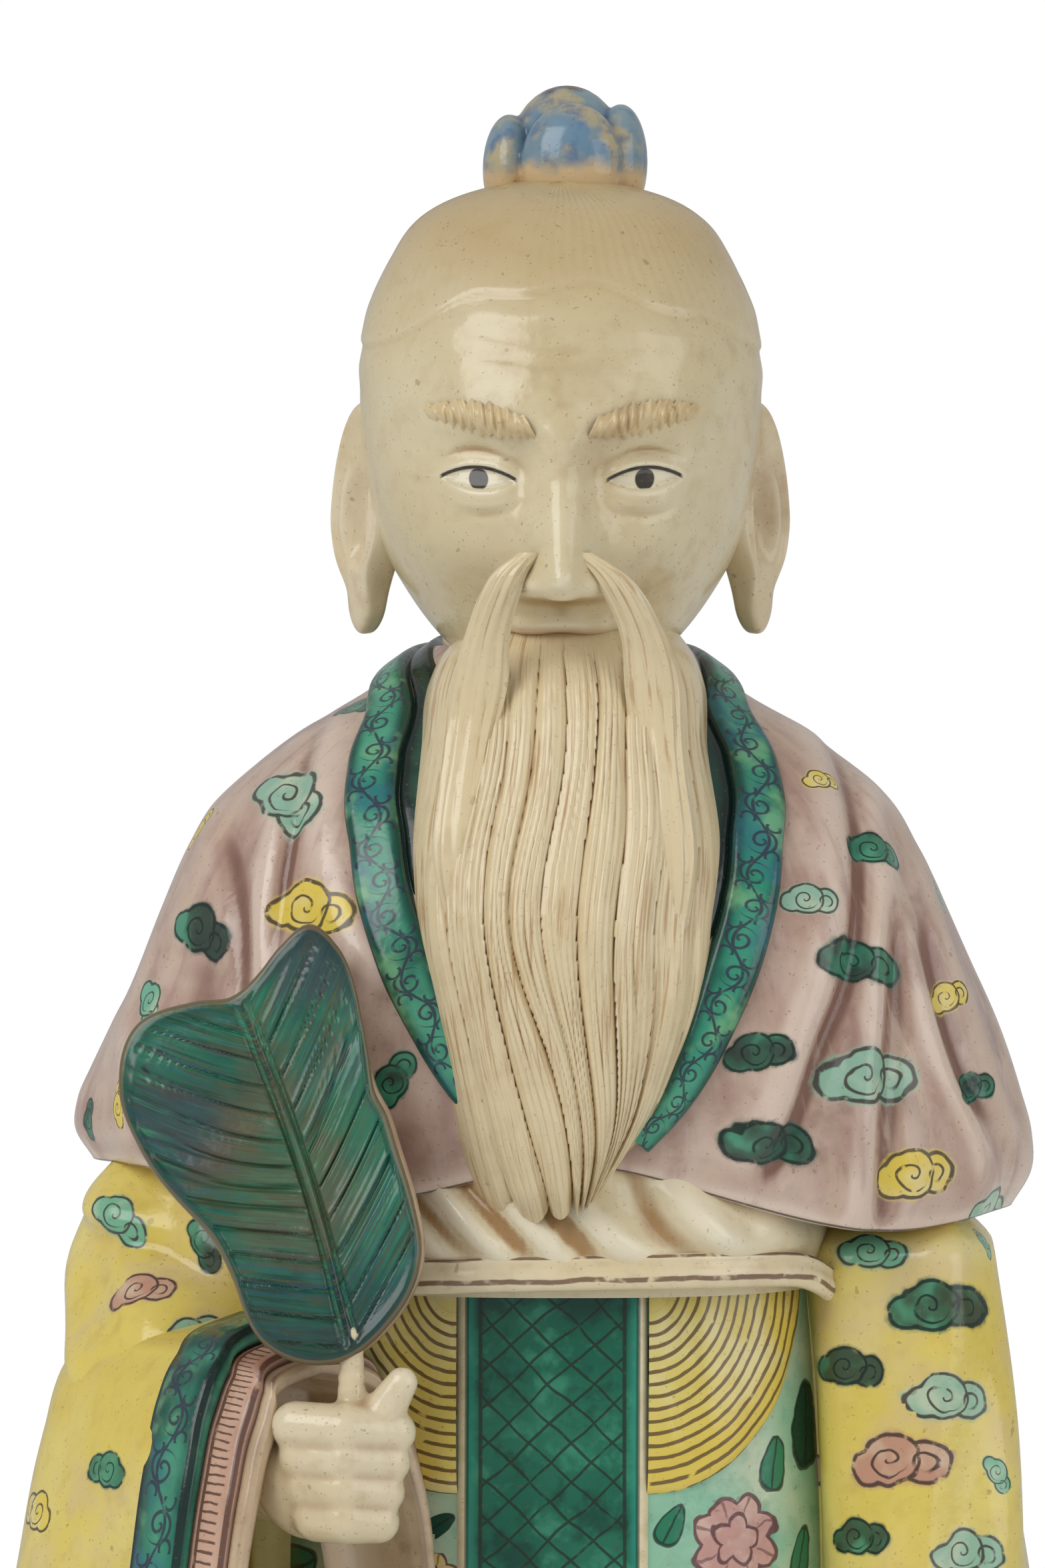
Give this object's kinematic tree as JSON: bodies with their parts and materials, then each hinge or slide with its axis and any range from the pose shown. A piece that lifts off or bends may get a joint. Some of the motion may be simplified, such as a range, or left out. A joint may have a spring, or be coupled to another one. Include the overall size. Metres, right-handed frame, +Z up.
{
  "type": "porcelain immortal figure",
  "caption": "Standing old bearded immortal in glazed porcelain, with a topknot, a long robe under a short mantle, wide sleeves and a leaf-shaped fan held before the chest.",
  "frame": {"origin": "middle of the figure's footprint, on the surface it stands on", "axes": "+Z up along the figure's height, +Y towards its back so that it looks along -Y, +X to the viewer's right"},
  "size_m": [0.1833, 0.1343, 0.545],
  "materials": {
    "glazed_porcelain": "gloss"
  },
  "bodies": {
    "root": {"figure": "glazed_porcelain"}
  },
  "joints": []
}
